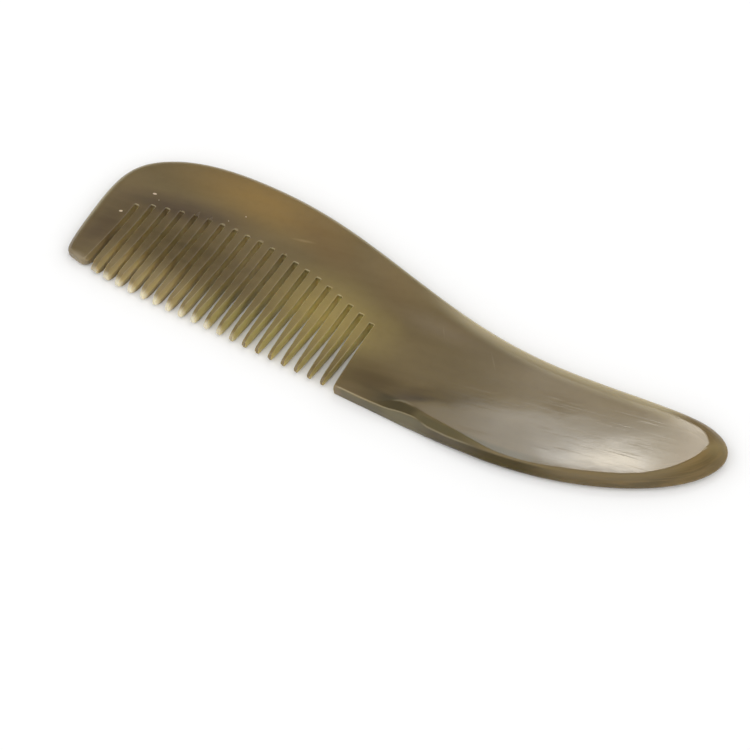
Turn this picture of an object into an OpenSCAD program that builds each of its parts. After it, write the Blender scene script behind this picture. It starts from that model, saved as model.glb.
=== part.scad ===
// Hair comb with a broad curved handle, sawn and shaped from one flat piece of horn.
// It lies on its underside: X runs from the front tooth to the end of the handle,
// Y from the tooth tips to the back of the comb and Z through the thickness.
// The origin is under the middle of the comb, on the plane that it rests on.
// Lengths are in millimetres.

/* [Body] */
// Length over the front tooth and the handle
comb_length = 185; // [180:0.5:190]
// Width from the tooth tips to the highest point of the back
comb_width = 50; // [49:0.5:54]
// Thickness under the origin
mid_thick = 4.1; // [3.6:0.1:5.5]
// Gain in thickness over 100 mm toward the back
back_gain = 1.6; // [0:0.1:2]
// Gain in thickness over 100 mm toward the handle
handle_gain = 0.5; // [0:0.1:1]
// Steps between two points of the control net
net_steps = 6; // [4:1:8]

/* [Teeth] */
// Number of saw slots
slot_count = 20; // [16:1:20]
// Distance from one slot to the next
pitch = 4; // [3.9:0.05:4.1]
// Width of a saw slot
slot_w = 1.45; // [1:0.05:1.7]
// X of the middle of the first slot
first_slot_x = -82.2; // [-83:0.1:-82]
// Radius of the arc through the slot ends
root_r = 109.6; // [95:0.1:150]
// X of the highest point of that arc
root_x = -50.1; // [-56:0.1:-44]
// Y of the highest point of that arc
root_y = 6.2; // [0:0.1:8]
// How much shorter the first slot is than the arc makes it
first_short = 1.2; // [0:0.1:3]
// Rounding of the corners at the slot ends
slot_corner = 0.3; // [0.1:0.05:0.5]

/* [Tooth tips] */
// Length over which the tips get thinner
thin_len = 2.8; // [1:0.1:5]
// Depth taken off each face at the very tip
thin_depth = 1; // [0.3:0.1:1.3]
// Half of the flat height left between the two tapers of a tooth
land_half = 0.45; // [0.2:0.05:0.8]
// Radius of the inner corner of the front tooth
guard_r = 2.4; // [1:0.1:3.5]
// Y of the end of the front tooth at that corner
guard_y = -23; // [-23.6:0.1:-20]

/* [Filing of the gaps] */
// Last slot, from 0 at the front, that stays as it was sawn but for its upper left edge
last_sawn = 2; // [0:1:8]
// First slot that is filed open as far as the table of gaps says
first_open = 15; // [9:1:19]
// Last slot whose upper left edge is filed open as far as that table says
left_open = 11; // [0:1:18]
// Share of that filing on the upper left edge of the last slot
left_least = 0.55; // [0.2:0.05:1]
// Length at the tips over which every gap opens fully
mouth_len = 2.5; // [1:0.1:4]

/* [Hidden] */
// Control net of the outline, counter-clockwise from the front tooth. Columns: x, y,
// width of the bevel, drop of the bevel, radius of the edge behind it.
OUTLINE = [
  [-89.0, -22.5, 0.5, 0.2, 0.9],
  [-77.5, -24.5, 0.5, 0.1, 0.8],
  [-66.5, -25.0, 0.4, 0.1, 0.5],
  [-42.0, -25.0, 0.4, 0.1, 0.4],
  [-15.0, -25.0, 0.4, 0.1, 0.4],
  [14.5, -25.0, 1.4, 0.2, 1.0],
  [33.5, -25.5, 2.4, 0.5, 1.9],
  [47.5, -23.5, 0.9, 0.2, 1.9],
  [63.0, -19.5, 0.5, 0.2, 1.6],
  [79.0, -11.5, 1.0, 0.4, 1.3],
  [89.5, -3.0, 3.5, 0.8, 1.6],
  [94.0, 7.0, 4.8, 1.0, 1.8],
  [88.5, 13.0, 2.6, 0.6, 1.6],
  [77.0, 13.5, 1.4, 0.5, 1.7],
  [60.0, 11.5, 1.0, 0.4, 1.7],
  [39.5, 9.5, 1.0, 0.4, 1.7],
  [20.0, 11.0, 0.8, 0.3, 1.6],
  [0.0, 15.5, 0.8, 0.3, 1.6],
  [-20.5, 21.0, 0.8, 0.3, 1.6],
  [-39.0, 24.5, 0.8, 0.3, 1.6],
  [-56.5, 25.0, 0.8, 0.3, 1.6],
  [-72.5, 23.5, 0.8, 0.3, 1.6],
  [-85.0, 18.5, 0.8, 0.3, 1.5],
  [-93.0, 10.0, 0.8, 0.3, 1.3],
  [-92.5, -6.0, 0.6, 0.2, 1.1],
  [-91.0, -22.0, 0.5, 0.2, 0.9]
];

// Gap between two teeth. Columns: distance from the tip line, half width of the gap
// at the two faces, half width at the middle of the thickness.
GAP = [
  [-1.5, 2.10, 1.90],
  [0.6, 1.86, 1.36],
  [3.5, 1.64, 1.02],
  [10.4, 1.12, 0.77],
  [17.5, 0.80, 0.73]
];

// Line along the tips. Columns: x, y.
TIPS = [[-93, -21.6], [-80, -23.6], [-68, -24.7], [-5, -25]];

// Section of the edge from the flat face to the wall. Columns: share of the bevel
// width left, share of its drop, angle run through on the rounding.
EDGE = [
  [1, 0, 0],
  [0.66, 0.22, 0],
  [0.33, 0.55, 0],
  [0, 1, 0],
  [0, 1, 30],
  [0, 1, 60],
  [0, 1, 90]
];

net_count = len(OUTLINE);
stations = net_count * net_steps;
rings = len(EDGE);
line_x = [for (k = [0:stations - 1]) net_mix(weights(share(k)), k)[0]];
line_y = [for (k = [0:stations - 1]) net_mix(weights(share(k)), k)[1]];
mid_x = (min(line_x) + max(line_x)) / 2;
mid_y = (min(line_y) + max(line_y)) / 2;
scale_x = comb_length / (max(line_x) - min(line_x));
scale_y = comb_width / (max(line_y) - min(line_y));
tip_y = place_y(-25);
past = 1.5;
horn = [0.5, 0.42, 0.27];

// Thickness of the comb over a point of the plan.
function thick(x, y) = mid_thick + back_gain * y / 100 + handle_gain * x / 100;

// Weights of four neighbouring points of the net, and their slopes, at a share t.
function weights(t) = [
  pow(1 - t, 3) / 6,
  (3 * pow(t, 3) - 6 * t * t + 4) / 6,
  (-3 * pow(t, 3) + 3 * t * t + 3 * t + 1) / 6,
  pow(t, 3) / 6
];
function slopes(t) = [
  -pow(1 - t, 2) / 2,
  (3 * t * t - 4 * t) / 2,
  (-3 * t * t + 2 * t + 1) / 2,
  t * t / 2
];
function share(k) = (k % net_steps) / net_steps;
function net(i) = OUTLINE[(i + net_count) % net_count];
function net_mix(w, k) =
  let (i = floor(k / net_steps))
  w[0] * net(i - 1) + w[1] * net(i) + w[2] * net(i + 1) + w[3] * net(i + 2);

// Places of the net's numbers in the finished comb, which is centred on the origin.
function place_x(x) = (x - mid_x) * scale_x;
function place_y(y) = (y - mid_y) * scale_y;

// One station of the outline: point, outward direction, and the form of the edge.
function station(k) =
  let (p = net_mix(weights(share(k)), k), d = net_mix(slopes(share(k)), k))
  let (n = norm([d[0], d[1]]))
  [place_x(p[0]), place_y(p[1]), d[1] / n, -d[0] / n, p[2], p[3], p[4]];

// A point of ring j at a station s, as inward distance and depth below the face.
function inset(s, j) = EDGE[j][0] * s[4] + s[6] * (1 - sin(EDGE[j][2]));
function depth(s, j) =
  let (half = thick(s[0], s[1]) / 2 - s[5] - 0.1)
  EDGE[j][1] * s[5] + min(s[6], half) * (1 - cos(EDGE[j][2]));
function ring_point(s, j, top) =
  let (x = s[0] - s[2] * inset(s, j), y = s[1] - s[3] * inset(s, j))
  [x, y, top ? thick(x, y) - depth(s, j) : depth(s, j)];

// The solid before sawing: two flat faces joined by rings of the edge.
module blank() {
  line = [for (k = [0:stations - 1]) station(k)];
  upper = [for (j = [0:rings - 1]) for (s = line) ring_point(s, j, true)];
  lower = [for (j = [rings - 1:-1:0]) for (s = line) ring_point(s, j, false)];
  skin = [
    for (j = [0:2 * rings - 2]) for (k = [0:stations - 1])
      let (a = j * stations + k, b = j * stations + (k + 1) % stations)
      each [[a, b, b + stations], [a, b + stations, a + stations]]
  ];
  faces = concat(
    [[for (k = [0:stations - 1]) stations - 1 - k]],
    skin,
    [[for (k = [0:stations - 1]) (2 * rings - 1) * stations + k]]
  );
  polyhedron(concat(upper, lower), faces, convexity = 10);
}

// Y of the inner end of a slot whose middle is at x.
function root(x, k) =
  root_y - root_r + sqrt(root_r * root_r - pow(x - root_x, 2)) - (k == 0 ? first_short : 0);

// The rows of the gap at slot k, with two rows more where the saw ended.
function gap_rows(x, k) =
  let (end = root(x, k) - tip_y, half = slot_w / 2)
  concat(GAP, [
    [end - slot_corner, half + 0.05, half],
    [end, half - slot_corner / 2, half - slot_corner / 2 - 0.05]
  ]);

// Share of the filing on one side of slot k, at a distance from the tip line. The teeth
// were filed from above on their right, and elsewhere more and more toward the handle.
function filed(k, side, up, away) =
  let (rest = (k - last_sawn) / (first_open - last_sawn))
  let (left = 1 - (1 - left_least) * (k - left_open) / (slot_count - 1 - left_open))
  let (least = min(1, max(0, up && side < 0 ? left : rest)))
  least + (1 - least) * max(0, 1 - away / mouth_len);

// Corners of the gap at one row, on the levels from a to b: under the lower face, that
// face, the land in the middle with some overlap, the upper face, and over it.
function gap_corners(x, k, row, a, b) =
  let (t = thick(x, tip_y + row[0]), low = t / 2 - land_half, high = t / 2 + land_half)
  let (z = [-past, 0, low, low - 0.2, high + 0.2, high, t, t + past])
  [
    for (side = [-1, 1]) for (i = [a:b])
      let (wide = row[i > 1 && i < 6 ? 2 : 1], saw = slot_w / 2)
      let (half = wide > saw ? saw + (wide - saw) * filed(k, side, i > 5, row[0]) : wide)
      [x + side * half, tip_y + row[0], z[i]]
  ];

// The body spanned by two sets of corners.
module span(a, b) {
  corners = concat(a, b);
  hull()
    polyhedron(corners, [[for (i = [0:len(corners) - 1]) i]]);
}

// A slot: parallel where the saw cut it, then filed open from both faces.
module slot_cut(x, k) {
  rows = gap_rows(x, k);
  for (i = [0:len(rows) - 2])
    for (level = [[0, 2], [3, 4], [5, 7]])
      span(
        gap_corners(x, k, rows[i], level[0], level[1]),
        gap_corners(x, k, rows[i + 1], level[0], level[1])
      );
}

// Corners of the wedge that thins the tips at a face, at one point of the tip line.
function thin_corners(p, up) =
  let (y = place_y(p[1]), t = thick(p[0], y), rise = up ? 1 : -1, face = up ? t : 0)
  let (low = thin_depth * (1 + past / thin_len))
  [
    [p[0], y + thin_len, face],
    [p[0], y - past, face - rise * low],
    [p[0], y - past, face + rise],
    [p[0], y + thin_len, face + rise]
  ];
module thin_cut() {
  last = first_slot_x + (slot_count - 1) * pitch;
  spots = [for (p = TIPS) [min(p[0], last), p[1]]];
  for (up = [true, false])
    for (i = [0:len(spots) - 2])
      span(thin_corners(spots[i], up), thin_corners(spots[i + 1], up));
}

// Rounds the inner corner at the tip of the wide front tooth.
module guard_cut() {
  x = first_slot_x - slot_w / 2 - 0.92 * guard_r;
  translate([x, guard_y + guard_r, -1])
    linear_extrude(height = mid_thick + 4)
      difference() {
        translate([0, -2 * guard_r])
          square([guard_r, 2 * guard_r]);
        circle(r = guard_r, $fn = 48);
      }
}

module comb() {
  color(horn)
    difference() {
      blank();
      for (k = [0:slot_count - 1])
        slot_cut(first_slot_x + k * pitch, k);
      thin_cut();
      guard_cut();
    }
}

comb();
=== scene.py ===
import math
import random
import bpy
import bmesh
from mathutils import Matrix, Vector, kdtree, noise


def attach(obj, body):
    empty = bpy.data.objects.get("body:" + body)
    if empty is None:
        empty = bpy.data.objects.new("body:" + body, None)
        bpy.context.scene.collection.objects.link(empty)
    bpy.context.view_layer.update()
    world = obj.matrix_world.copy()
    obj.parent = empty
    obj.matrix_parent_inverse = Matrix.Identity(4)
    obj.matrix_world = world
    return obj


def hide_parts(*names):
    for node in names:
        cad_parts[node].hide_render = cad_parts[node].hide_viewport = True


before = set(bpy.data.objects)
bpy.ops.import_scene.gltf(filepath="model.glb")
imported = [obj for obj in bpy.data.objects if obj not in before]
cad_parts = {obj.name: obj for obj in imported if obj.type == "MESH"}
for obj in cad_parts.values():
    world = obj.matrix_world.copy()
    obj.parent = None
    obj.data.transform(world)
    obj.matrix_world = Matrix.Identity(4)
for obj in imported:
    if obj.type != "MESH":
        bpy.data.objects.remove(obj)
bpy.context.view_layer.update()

MM = 0.001

# Shape, in millimetres

# Control net of the outline, counter-clockwise from the front tooth: x, y.
OUTLINE = (
    (-89.0, -22.5), (-77.5, -24.5), (-66.5, -25.0), (-42.0, -25.0), (-15.0, -25.0),
    (14.5, -25.0), (33.5, -25.5), (47.5, -23.5), (63.0, -19.5), (79.0, -11.5),
    (89.5, -3.0), (94.0, 7.0), (88.5, 13.0), (77.0, 13.5), (60.0, 11.5),
    (39.5, 9.5), (20.0, 11.0), (0.0, 15.5), (-20.5, 21.0), (-39.0, 24.5),
    (-56.5, 25.0), (-72.5, 23.5), (-85.0, 18.5), (-93.0, 10.0), (-92.5, -6.0),
    (-91.0, -22.0),
)
COMB_LENGTH = 185.0
COMB_WIDTH = 50.0

# Stations between two rows of the net.
NET_STEPS = 16

# Form of the edge at a place on the net: place, inset where the flat face ends,
# inset of the crease behind the bevel, drop at the crease, height of the rounding,
# how softly the bevel leaves the face (0 crisp, 1 soft), and the turn at the crease in
# degrees beyond a smooth change.
EDGE_FORM = (
    (0.0, 1.5, 0.7, 0.14, 0.9, 1.0, 0),
    (0.6, 1.5, 0.7, 0.14, 0.8, 1.0, 0),
    (1.0, 0.9, 0.6, 0.12, 0.7, 1.0, 0),
    (2.0, 0.8, 0.5, 0.15, 0.3, 0.5, 0),
    (4.3, 0.4, 0.25, 0.06, 0.25, 0.3, 10),
    (4.6, 0.4, 0.25, 0.06, 0.3, 0.3, 10),
    (4.78, 1.2, 0.5, 0.1, 0.7, 0.3, 20),
    (4.92, 3.6, 0.9, 0.3, 1.2, 0.2, 30),
    (5.05, 4.9, 1.7, 0.4, 1.6, 0.1, 35),
    (5.25, 4.6, 2.1, 0.38, 1.8, 0.1, 30),
    (5.45, 4.25, 1.3, 0.44, 1.5, 0.1, 25),
    (5.75, 3.9, 1.3, 0.46, 1.5, 0.2, 20),
    (6.1, 3.2, 1.6, 0.34, 1.5, 0.4, 14),
    (6.6, 2.2, 1.6, 0.15, 1.6, 0.7, 5),
    (7.2, 2.0, 1.5, 0.08, 1.7, 1.0, 0),
    (7.8, 2.5, 1.5, 0.16, 1.6, 0.8, 0),
    (8.5, 2.6, 1.2, 0.35, 1.3, 0.6, 0),
    (8.9, 2.7, 1.2, 0.40, 1.3, 0.5, 0),
    (9.2, 3.2, 1.3, 0.47, 1.3, 0.4, 0),
    (9.5, 3.9, 1.5, 0.55, 1.3, 0.3, 0),
    (10.0, 4.9, 1.7, 0.7, 1.3, 0.4, 0),
    (10.6, 5.8, 1.8, 0.75, 1.3, 0.8, 0),
    (11.3, 6.2, 1.8, 0.75, 1.3, 0.9, 0),
    (11.9, 4.6, 1.5, 0.6, 1.3, 0.9, 0),
    (12.4, 2.8, 1.3, 0.3, 1.4, 0.8, 0),
    (13.0, 2.6, 1.2, 0.20, 1.5, 1.0, 0),
    (14.0, 3.2, 1.2, 0.22, 1.5, 1.0, 0),
    (15.0, 3.2, 1.2, 0.22, 1.5, 1.0, 0),
    (16.0, 2.9, 1.2, 0.21, 1.5, 1.0, 0),
    (18.0, 2.3, 1.2, 0.18, 1.5, 1.0, 0),
    (20.0, 2.2, 1.2, 0.18, 1.5, 1.0, 0),
    (22.0, 2.2, 1.2, 0.18, 1.4, 1.0, 0),
    (24.0, 2.0, 1.1, 0.16, 1.2, 1.0, 0),
    (25.2, 1.5, 0.9, 0.15, 1.0, 1.0, 0),
    (25.5, 1.4, 0.8, 0.14, 0.95, 1.0, 0),
)

# The lower edge is nearly square beside the last slot: places where that begins, is
# complete, fades and ends, and its form.
SQUARE_PLACES = (4.3, 4.6, 5.1, 6.1)
SQUARE_FORM = (0.8, 0.35, 0.1, 0.35, 0.3, 10)

# Sections through the edge: shares of the rounding, shares of the bevel, and insets past it
# on the flat face, which draw together so that none lies deeper than the limit.
ARC_SHARES = (1.0, 0.87, 0.73, 0.6, 0.46, 0.33, 0.2, 0.08, 0.0)
BEVEL_SHARES = (0.06, 0.2, 0.4, 0.6, 0.8, 0.92, 1.0)
FLAT_INSETS = (0.15, 0.45, 0.9, 1.6)
DEEPEST_ROW = 6.4

# Thickness in the middle, and what it gains over 100 mm towards the back and the handle.
# Rise of the upper face, and its long and short waves.
THICK, THICKER_BACK, THICKER_HANDLE = 4.1, 1.6, 0.5
CROWN, LONG_WAVE, SHORT_WAVE = 0.035, 0.016, 0.004

# Least half height of the wall between the upper and the lower edge.
LEAST_HALF_WALL = 0.05

# Side of the squares that the flat faces are divided into, and a shift of them.
GRID, GRID_SHIFT = 2, 1.03

# Slots: count, pitch, width, middle of the first, radius and top of the arc through their
# ends, and the line that the gaps' distances are counted from.
SLOT_COUNT = 20
PITCH = 4.0
SLOT_W = 1.45
FIRST_SLOT_X = -82.2
ROOT_R = 109.6
ROOT_X = -50.1
ROOT_Y = 6.2
TIP_Y = -24.79

# Middle of the slot where the count of places along the outline starts again.
SEAM_SLOT = 3
SEAM_X = FIRST_SLOT_X + SEAM_SLOT * PITCH

# Distance from the outline past which a point only counts as far from it.
FAR = 7

# What a face was finished by: the polish of the comb's faces, the saw, or the file that
# broke the sawn edges.
POLISHED, SAWN, EDGE = 0, 1, 2

# Width and height of a broken edge, and half height of the flat land in the middle of a
# filed wall.
BROKEN = 0.13
LAND = 0.45

# By slot: how far its end lies past the arc, and the length, half width, side shift and
# bluntness of the mark where the saw ran on at the face.
SLOT_ENDS = (
    (-1.2, 0.3, 0.6, 0.0, 0.8), (-0.3, 0.25, 0.7, 0.0, 0.9), (-0.27, 0.3, 0.6, 0.1, 0.8),
    (-0.04, 0.5, 0.5, 0.15, 0.5), (0.1, 1.8, 0.6, 0.15, 0.1), (0.2, 1.3, 0.55, 0.1, 0.15),
    (0.1, 0.6, 0.65, 0.0, 0.5), (0.1, 0.7, 0.7, 0.0, 0.5), (-0.1, 0.4, 0.6, 0.1, 0.5),
    (0.0, 0.7, 0.75, 0.05, 0.6), (-0.15, 0.35, 0.6, 0.1, 0.6), (0.0, 0.7, 0.4, 0.2, 0.2),
    (-0.2, 0.25, 0.75, 0.05, 0.8), (-0.25, 0.25, 0.65, 0.1, 0.8), (-0.2, 0.3, 0.7, 0.0, 0.8),
    (-0.25, 0.12, 0.6, 0.0, 0.8), (-0.35, 0.3, 0.55, -0.15, 0.7), (-0.2, 0.15, 0.65, 0.0, 0.8),
    (0.15, 0.2, 0.65, 0.0, 0.8), (0.4, 0.15, 0.6, 0.0, 0.8),
)

# How far the gaps were filed open: the last slot that stays as it was sawn but for its
# upper left edge, the first one that is fully open, the last one whose upper left edge is
# fully open, the share of that on the last slot, and the length at the tips over which
# every gap opens fully.
LAST_SAWN, FIRST_OPEN, LEFT_OPEN, LEFT_LEAST = 2, 15, 11, 0.55
MOUTH = 2.5

# Rounded end of a slot: distance from the end, and what half the width loses there. The
# straight walls stop short of the end. The saw wanders by no more than the drift.
ROOT_ROUND = ((0.13, 0.05), (0.03, 0.14), (0.0, 0.28))
ROOT_SHORT = 0.35
DRIFT = 0.06

# Nick past a slot's end: depth at the end of the slot, and rise over the face at its own end.
NICK_DEPTH, NICK_RISE = 0.16, 0.012

# Gap between two teeth: distance from the tip line, half width at the faces,
# half width at the middle of the thickness.
GAP = (
    (-1.2, 1.97, 1.95),
    (-0.25, 1.97, 1.93),
    (0.0, 1.95, 1.76),
    (0.15, 1.93, 1.55),
    (0.6, 1.86, 1.38),
    (1.6, 1.78, 1.22),
    (3.5, 1.64, 1.02),
    (6.5, 1.40, 0.87),
    (10.5, 1.12, 0.77),
    (14.0, 0.92, 0.745),
    (17.5, 0.78, 0.73),
)


def spline_mix(rows, i, weights):
    """Weighted sum of the four rows round row i of a closed net."""
    n = len(rows)
    return [sum(w * rows[(i + j) % n][c] for w, j in zip(weights, (-1, 0, 1, 2)))
            for c in range(len(rows[0]))]


def edge_form(place):
    """Values of EDGE_FORM at a place on the net, on a smooth curve through its rows."""
    n = len(OUTLINE)
    rows = EDGE_FORM
    k = max([i for i, r in enumerate(rows) if r[0] <= place] or [len(rows) - 1])
    four = [rows[(k + j) % len(rows)] for j in (-1, 0, 1, 2)]
    places = []
    for j, row in zip((-1, 0, 1, 2), four):
        turns = (k + j) // len(rows)
        places.append(row[0] + turns * n)
    t = (place - places[1]) / (places[2] - places[1])
    values = []
    for c in range(1, len(rows[0])):
        p0, p1, p2, p3 = (row[c] for row in four)
        d = places[2] - places[1]
        m1 = d * (p2 - p0) / (places[2] - places[0])
        m2 = d * (p3 - p1) / (places[3] - places[1])
        low, high = min(p1, p2), max(p1, p2)
        v = ((2 * t ** 3 - 3 * t * t + 1) * p1 + (t ** 3 - 2 * t * t + t) * m1
             + (-2 * t ** 3 + 3 * t * t) * p2 + (t ** 3 - t * t) * m2)
        values.append(min(high, max(low, v)))
    return values


def outline():
    """Stations round the comb: x, y, outward x, outward y and the edge's form."""
    raw = []
    for k in range(len(OUTLINE) * NET_STEPS):
        i, t = k // NET_STEPS, (k % NET_STEPS) / NET_STEPS
        weights = ((1 - t) ** 3 / 6, (3 * t ** 3 - 6 * t * t + 4) / 6,
                   (-3 * t ** 3 + 3 * t * t + 3 * t + 1) / 6, t ** 3 / 6)
        slopes = (-(1 - t) ** 2 / 2, (3 * t * t - 4 * t) / 2,
                  (-3 * t * t + 2 * t + 1) / 2, t * t / 2)
        raw.append((spline_mix(OUTLINE, i, weights), spline_mix(OUTLINE, i, slopes)))
    xs = [p[0] for p, d in raw]
    ys = [p[1] for p, d in raw]
    mid_x, mid_y = (min(xs) + max(xs)) / 2, (min(ys) + max(ys)) / 2
    scale_x = COMB_LENGTH / (max(xs) - min(xs))
    scale_y = COMB_WIDTH / (max(ys) - min(ys))
    rows = []
    for k, (p, d) in enumerate(raw):
        length = math.hypot(d[0], d[1])
        rows.append(((p[0] - mid_x) * scale_x, (p[1] - mid_y) * scale_y,
                     d[1] / length, -d[0] / length, *edge_form(k / NET_STEPS)))
    return rows


STATIONS = outline()


def thick(x, y):
    """Thickness of the plate, without its crown."""
    return THICK + THICKER_BACK * y / 100 + THICKER_HANDLE * x / 100


def crown(x, y):
    """Slight rise of the upper face, with long and short waves."""
    return (CROWN + LONG_WAVE * noise.noise(Vector((x / 17, y / 11, 3.1)))
            + SHORT_WAVE * noise.noise(Vector((x / 7, y / 5, 8.4))))


def loft(bm, rings):
    """Closed skin through rings of equally many points, with a flat cap at both ends."""
    ring = bmesh.ops.create_circle(bm, cap_ends=False, segments=len(rings[0]), radius=1)["verts"]
    edges = list({e for v in ring for e in v.link_edges})
    caps = []
    for v, co in zip(ring, rings[0]):
        v.co = co
    caps += bmesh.ops.contextual_create(bm, geom=edges)["faces"]
    for points in rings[1:]:
        geom = bmesh.ops.extrude_edge_only(bm, edges=edges)["geom"]
        fresh = {v for v in geom if isinstance(v, bmesh.types.BMVert)}
        edges = [e for e in geom if isinstance(e, bmesh.types.BMEdge) and set(e.verts) <= fresh]
        ring = [next(e.other_vert(v) for e in v.link_edges if e.other_vert(v) in fresh)
                for v in ring]
        for v, co in zip(ring, points):
            v.co = co
    caps += bmesh.ops.contextual_create(bm, geom=edges)["faces"]
    return caps


def as_object(bm, name):
    mesh = bpy.data.meshes.new(name)
    bm.to_mesh(mesh)
    bm.free()
    piece = bpy.data.objects.new(name, mesh)
    bpy.context.collection.objects.link(piece)
    return piece


def edge_rows(form):
    """Section of the edge from the wall to the flat face, as inset and depth."""
    face, crease, drop, height, soft, turn = form
    slope = drop / (face - crease) * (1 + soft)
    # The rounding starts with the bevel's slope. Both limits keep it short of upright.
    ratio = min(slope * crease / height, 0.45)
    start = min(math.asin(ratio / (1 - ratio)) + math.radians(turn), 1.3)
    rows = []
    for f in ARC_SHARES:
        a = start + (math.pi / 2 - start) * f
        rows.append((crease * (1 - math.sin(a)) / (1 - math.sin(start)),
                     drop + height * (1 - math.cos(a) / math.cos(start))))
    for f in BEVEL_SHARES:
        left = 1 - f
        rows.append((crease + (face - crease) * f, drop * (left * (1 - soft) + left * left * soft)))
    room = min(1, (face / 3) ** 2, (DEEPEST_ROW - face) / FLAT_INSETS[-1])
    return rows + [(face + more * room, 0.0) for more in FLAT_INSETS]


def under_form(place, form):
    """Form of the lower edge at a place: the upper edge's form, or nearly square."""
    start, full, fade, end = SQUARE_PLACES
    begun = min(1, max(0, (place - start) / (full - start)))
    share = begun * min(1, max(0, (end - place) / (end - fade)))
    return [a + (min(a, b) - a) * share for a, b in zip(form, SQUARE_FORM)]


def divide(bm, caps):
    """Divides the two flat caps into small squares, so that the crown can shape them."""
    # The material index marks the caps' faces until they are divided.
    for face in bm.faces:
        face.material_index = 0
    for face in caps:
        face.material_index = 1
    for axis, low, high in ((0, -92, 92), (1, -24, 24)):
        for k in range(low, high, GRID):
            middle = Vector((0, 0, 0))
            way = Vector((0, 0, 0))
            middle[axis], way[axis] = k + GRID_SHIFT, 1
            faces = [f for f in bm.faces if f.material_index == 1]
            edges = list({e for f in faces for e in f.edges})
            verts = list({v for f in faces for v in f.verts})
            bmesh.ops.bisect_plane(bm, geom=faces + edges + verts, dist=1e-5,
                                   plane_co=middle, plane_no=way)
    for face in bm.faces:
        face.material_index = POLISHED


def blank():
    """The comb before its slots are sawn."""
    upper = [edge_rows(s[4:]) for s in STATIONS]
    lower = [edge_rows(under_form(k / NET_STEPS, s[4:])) for k, s in enumerate(STATIONS)]
    count = len(upper[0])
    rings = []
    for up in (False, True):
        for j in range(count) if up else reversed(range(count)):
            ring = []
            for s, rows in zip(STATIONS, upper if up else lower):
                inset, depth = rows[j]
                x, y = s[0] - s[2] * inset, s[1] - s[3] * inset
                full = thick(x, y)
                depth = min(depth, full / 2 - LEAST_HALF_WALL)
                ring.append((x, y, full - depth if up else depth))
            rings.append(ring)
    bm = bmesh.new()
    divide(bm, loft(bm, rings))
    for v in bm.verts:
        full = thick(v.co.x, v.co.y)
        if v.co.z > full / 2:
            v.co.z += crown(v.co.x, v.co.y) * (v.co.z * 2 / full - 1)
    bmesh.ops.recalc_face_normals(bm, faces=bm.faces[:])
    return as_object(bm, "comb_blank")


def slot_root(x):
    """Where the arc through the slots' ends is at x."""
    return ROOT_Y - ROOT_R + math.sqrt(ROOT_R ** 2 - (x - ROOT_X) ** 2)


def filed(k, side, up, away):
    """Share of GAP's filing on one side of slot k, at a distance from the tip line."""
    rest = (k - LAST_SAWN) / (FIRST_OPEN - LAST_SAWN)
    left = 1 - (1 - LEFT_LEAST) * (k - LEFT_OPEN) / (SLOT_COUNT - 1 - LEFT_OPEN)
    least = min(1, max(0, left if up and side < 0 else rest))
    return least + (1 - least) * max(0, 1 - away / MOUTH)


def slot_ring(x, y, at_face, at_mid, k, away, past=0.0):
    """Section of the gap of slot k at y: narrow at mid thickness, wider at both faces, with
    broken edges, and filed open by slot, side and distance from the tip line."""
    full = thick(x, y)
    top = full + crown(x, y)
    half = full / 2
    between = at_mid * 0.59 + at_face * 0.41
    levels = (
        (-1.5, at_face, BROKEN, past), (0.0, at_face, BROKEN, past), (BROKEN, at_face, 0, 0),
        (half * 0.5, between, 0, 0), (half - LAND, at_mid, 0, 0), (half + LAND, at_mid, 0, 0),
        (top - half * 0.5, between, 0, 0), (top - BROKEN, at_face, 0, 0),
        (top, at_face, BROKEN, past), (top + 1.5, at_face, BROKEN, past),
    )
    saw = SLOT_W / 2
    first_upper = len(levels) - 4
    sides = []
    for side in (1, -1):
        line = []
        for i, (z, wide, more, run) in enumerate(levels):
            if wide > saw:
                wide = saw + (wide - saw) * filed(k, side, i >= first_upper, away)
            line.append((x + side * (wide + more), y + run, z))
        sides.append(line)
    return sides[0] + sides[1][::-1]


def tag_finish(bm, walls=SAWN):
    """Marks a cutter's faces by what they leave: sawn walls, or broken edges near a face."""
    for face in bm.faces:
        c = face.calc_center_median()
        near = min(abs(c.z), abs(c.z - thick(c.x, c.y) - crown(c.x, c.y)))
        face.material_index = EDGE if near < BROKEN else walls


def slots():
    """Cutters of all the gaps, each from beyond the tips to its rounded end."""
    bm = bmesh.new()
    random.seed(7)
    for k in range(SLOT_COUNT):
        x = FIRST_SLOT_X + k * PITCH
        end = slot_root(x) + SLOT_ENDS[k][0]
        half = SLOT_W / 2
        bend = random.uniform(-DRIFT, DRIFT)
        rings = []
        for s, at_face, at_mid in GAP:
            rings.append(slot_ring(x + bend * math.sin(s / 9), TIP_Y + s, at_face, at_mid, k, s))
        # As sawn from there to just short of the rounded end.
        rest = end - TIP_Y - GAP[-1][0]
        for share in (0.35, 0.7, 1.0):
            s = GAP[-1][0] + (rest - ROOT_SHORT) * share
            rings.append(slot_ring(x, TIP_Y + s, half + 0.01, half, k, s))
        for back, lose in ROOT_ROUND:
            rings.append(slot_ring(x, end - back, half - lose, half - lose, k, end, BROKEN))
        loft(bm, rings)
    bmesh.ops.recalc_face_normals(bm, faces=bm.faces[:])
    tag_finish(bm)
    return as_object(bm, "slot_cutters")


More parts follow.
